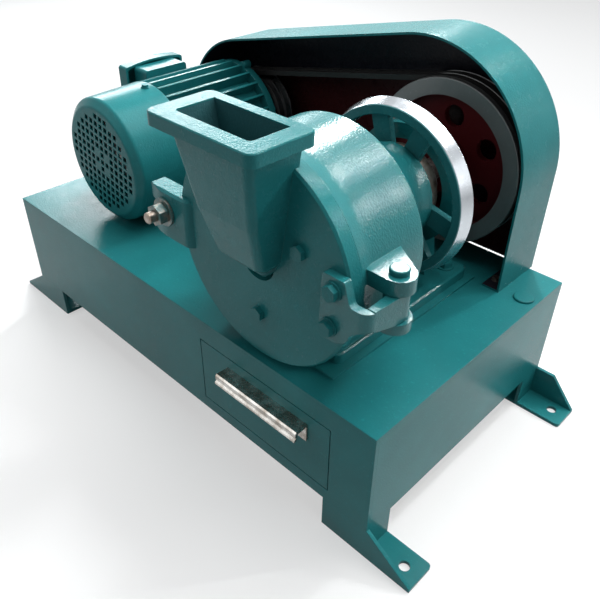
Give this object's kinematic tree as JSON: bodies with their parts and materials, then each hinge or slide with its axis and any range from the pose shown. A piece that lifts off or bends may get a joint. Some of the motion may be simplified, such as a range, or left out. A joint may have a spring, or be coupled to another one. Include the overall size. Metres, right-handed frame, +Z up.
{
  "type": "disc pulverizer",
  "caption": "Belt-driven laboratory disc mill for grain and seed, with a hinged round door and hopper, a hand wheel that sets the gap, and a drawer in a sheet-steel base.",
  "frame": {"origin": "on the floor, in the middle of the four foot bolt holes", "axes": "+X to the right along the front, +Y to the back, towards the belt guard, +Z up"},
  "size_m": [0.896, 0.483, 0.5155],
  "materials": {
    "green_enamel": "glossy enamel",
    "dark_primer": "dark red-brown primer",
    "bare_steel": "machined steel",
    "dark_steel": "oiled steel",
    "rusty_steel": "steel with light rust",
    "polished_rim": "turned and polished",
    "cast_iron": "machined cast iron",
    "belt_rubber": "rubber",
    "bright_aluminium": "anodised",
    "black_plastic": "moulded",
    "white_iron": "hard cast iron",
    "winding": "varnished copper"
  },
  "bodies": {
    "frame": {"base_top_plate": "green_enamel", "base_front_panel": "green_enamel", "base_back_panel": "green_enamel", "base_left_panel": "green_enamel", "base_right_panel": "green_enamel", "foot_front_left": "green_enamel", "foot_back_left": "green_enamel", "foot_front_right": "green_enamel", "foot_back_right": "green_enamel", "top_plug": "green_enamel", "mill_pad_plate": "green_enamel", "discharge_chute": "bare_steel", "drawer_runners": "bare_steel", "mill_body": "green_enamel", "mill_bolts": "green_enamel", "quill_key_screw": "dark_steel", "hinge_pin": "green_enamel", "latch_pin": "green_enamel", "nut_retainer": "bare_steel", "motor_frame": "green_enamel", "motor_drive_shield": "green_enamel", "motor_rear_shield": "cast_iron", "fan_cowl": "green_enamel", "motor_screws": "green_enamel", "motor_stator": "winding", "motor_bearings": "bare_steel", "motor_bolts": "dark_steel", "terminal_box": "green_enamel", "terminal_lid": "green_enamel", "cable_gland": "black_plastic", "guard_wrap": "green_enamel", "guard_back": "dark_primer", "guard_bolts": "dark_steel", "v_belts": "belt_rubber"},
    "drawer": {"drawer_front": "green_enamel", "drawer_tray": "bare_steel", "drawer_handle": "bright_aluminium", "handle_screws": "bare_steel"},
    "door": {"door_hopper": "green_enamel", "fixed_disc": "white_iron", "hinge_arm": "green_enamel", "door_bolts": "green_enamel"},
    "swing_bolt": {"swing_bolt": "dark_steel"},
    "latch_washer": {"latch_washer": "green_enamel"},
    "latch_nut": {"latch_nut": "dark_steel"},
    "quill": {"quill": "bare_steel", "quill_caps": "bare_steel", "bearing_outer_rings": "bare_steel"},
    "spindle": {"spindle": "bare_steel", "pulley_key": "bare_steel", "bearing_inner_rings": "bare_steel", "rotor_head": "cast_iron", "rotating_disc": "white_iron", "rotor_nut": "bare_steel"},
    "hand_wheel": {"hand_wheel": "polished_rim", "adjusting_nut": "rusty_steel"},
    "mill_pulley": {"mill_pulley": "cast_iron"},
    "motor_rotor": {"motor_rotor": "bare_steel", "motor_fan": "black_plastic", "motor_pulley": "cast_iron"}
  },
  "joints": [
    {"name": "drawer_slide", "type": "slide", "parent": "frame", "child": "drawer", "axis": [0, -1, 0], "range_m": [0, 0.23]},
    {"name": "door_hinge", "type": "hinge", "parent": "frame", "child": "door", "pos_m": [0.347, -0.1515, 0.341], "axis": [0, 0, 1], "range_deg": [0, 105]},
    {"name": "latch_swing", "type": "hinge", "parent": "frame", "child": "swing_bolt", "pos_m": [0.038, -0.12, 0.343], "axis": [0, 0, -1], "range_deg": [0, 95]},
    {"name": "latch_washer_slide", "type": "slide", "parent": "swing_bolt", "child": "latch_washer", "axis": [0, -1, 0], "range_m": [0, 0.008]},
    {"name": "latch_nut_turn", "type": "hinge", "parent": "latch_washer", "child": "latch_nut", "pos_m": [0.038, -0.213, 0.343], "axis": [0, -1, 0], "range_deg": [0, 1440]},
    {"name": "quill_slide", "type": "slide", "parent": "frame", "child": "quill", "axis": [0, 1, 0], "range_m": [0, 0.006]},
    {"name": "handwheel_turn", "type": "hinge", "parent": "frame", "child": "hand_wheel", "pos_m": [0.194, 0.034, 0.343], "axis": [0, -1, 0], "range_deg": [0, 720]},
    {"name": "spindle_spin", "type": "hinge", "parent": "quill", "child": "spindle", "pos_m": [0.194, 0, 0.343], "axis": [0, 1, 0], "continuous": true},
    {"name": "pulley_spin", "type": "hinge", "parent": "frame", "child": "mill_pulley", "pos_m": [0.194, 0.169, 0.343], "axis": [0, 1, 0], "continuous": true},
    {"name": "motor_spin", "type": "hinge", "parent": "frame", "child": "motor_rotor", "pos_m": [-0.208, 0.1, 0.306], "axis": [0, 1, 0], "continuous": true}
  ],
  "couplings": [
    {"joint": "latch_washer_slide", "follows": "latch_nut_turn", "m_per_rad": 0.000318},
    {"joint": "quill_slide", "follows": "handwheel_turn", "m_per_rad": 0.000477},
    {"joint": "spindle_spin", "follows": "pulley_spin", "ratio": 1},
    {"joint": "motor_spin", "follows": "pulley_spin", "ratio": 1.6667}
  ]
}
